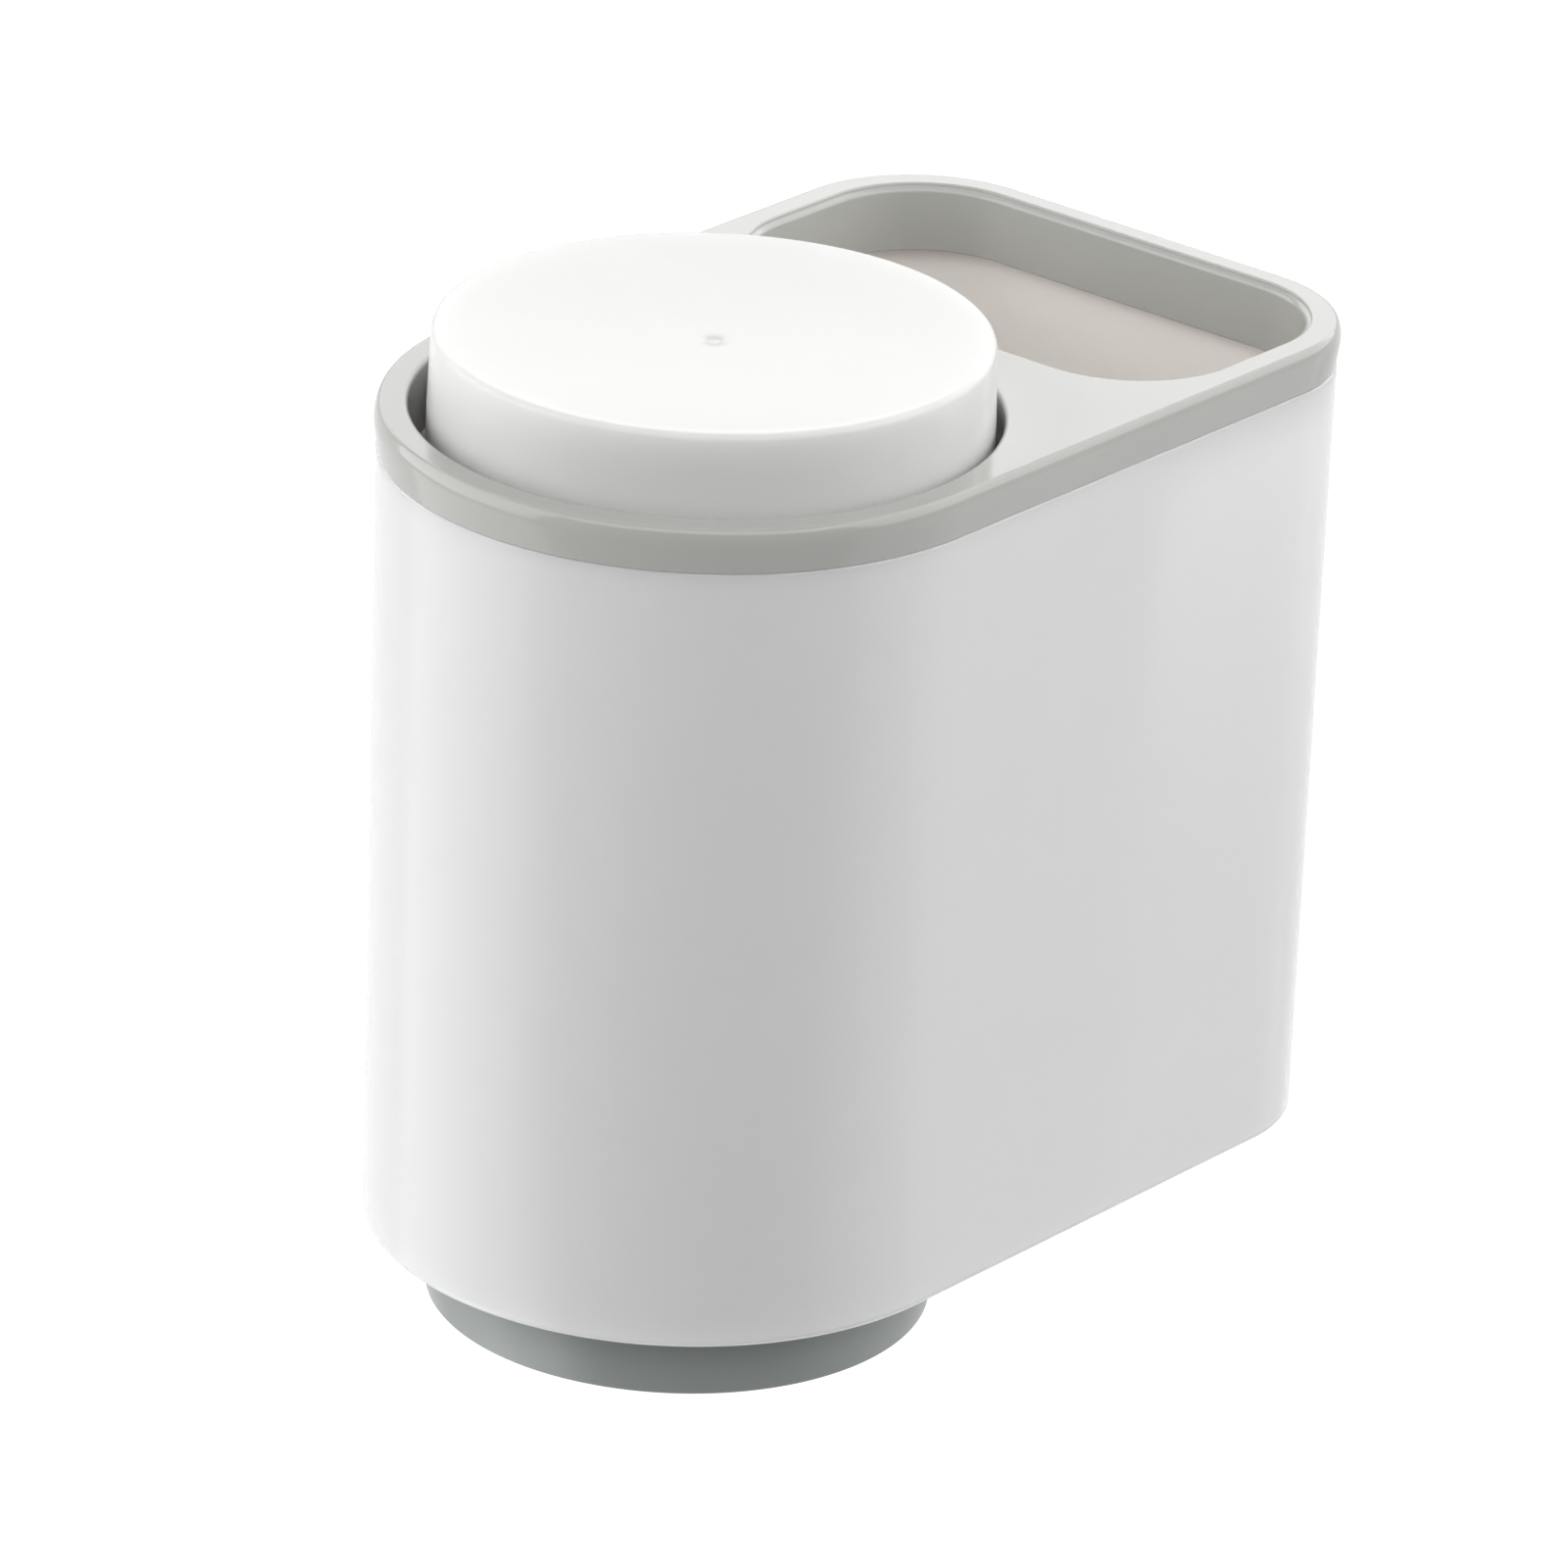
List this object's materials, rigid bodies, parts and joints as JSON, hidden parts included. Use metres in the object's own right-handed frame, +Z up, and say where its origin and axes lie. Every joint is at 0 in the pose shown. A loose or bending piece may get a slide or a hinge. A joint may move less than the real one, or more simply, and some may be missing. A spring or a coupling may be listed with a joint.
{
  "type": "wall-mounted toothbrush holder",
  "caption": "Wall-hung bathroom holder: D-plan white housing with a grey top frame, a rinse cup stored upside down in front, an open brush bay behind and a round drip tray below.",
  "frame": {"origin": "middle of the adhesive pad's wall side", "axes": "+Y points into the wall, +Z is up, +X is to the right for someone facing the wall"},
  "size_m": [0.08, 0.1264, 0.1274],
  "materials": {
    "shell_white": "gloss",
    "frame_grey": "gloss",
    "inner_white": "satin",
    "inner_grey": "satin",
    "cup_white": "satin",
    "tray_grey": "satin",
    "soft_grey": "matte",
    "pad_foam": "matte"
  },
  "bodies": {
    "wall_mount": {"wall_plate": "inner_grey", "adhesive_pad": "pad_foam"},
    "housing": {"outer_shell": "shell_white", "top_frame": "frame_grey", "divider_panel": "inner_white", "cup_rest": "inner_grey", "brush_rest": "inner_grey", "wall_bumper_left": "soft_grey", "wall_bumper_right": "soft_grey"},
    "cup": {"rinse_cup": "cup_white"},
    "tray": {"drip_tray": "tray_grey", "tray_seal": "soft_grey"}
  },
  "joints": [
    {"name": "housing_lift", "type": "slide", "parent": "wall_mount", "child": "housing", "axis": [0, 0, 1], "range_m": [0, 0.0056]},
    {"name": "cup_lift", "type": "slide", "parent": "housing", "child": "cup", "axis": [0, 0, 1], "range_m": [0, 0.1]},
    {"name": "tray_pull", "type": "slide", "parent": "housing", "child": "tray", "axis": [0, 0, -1], "range_m": [0, 0.02]}
  ]
}
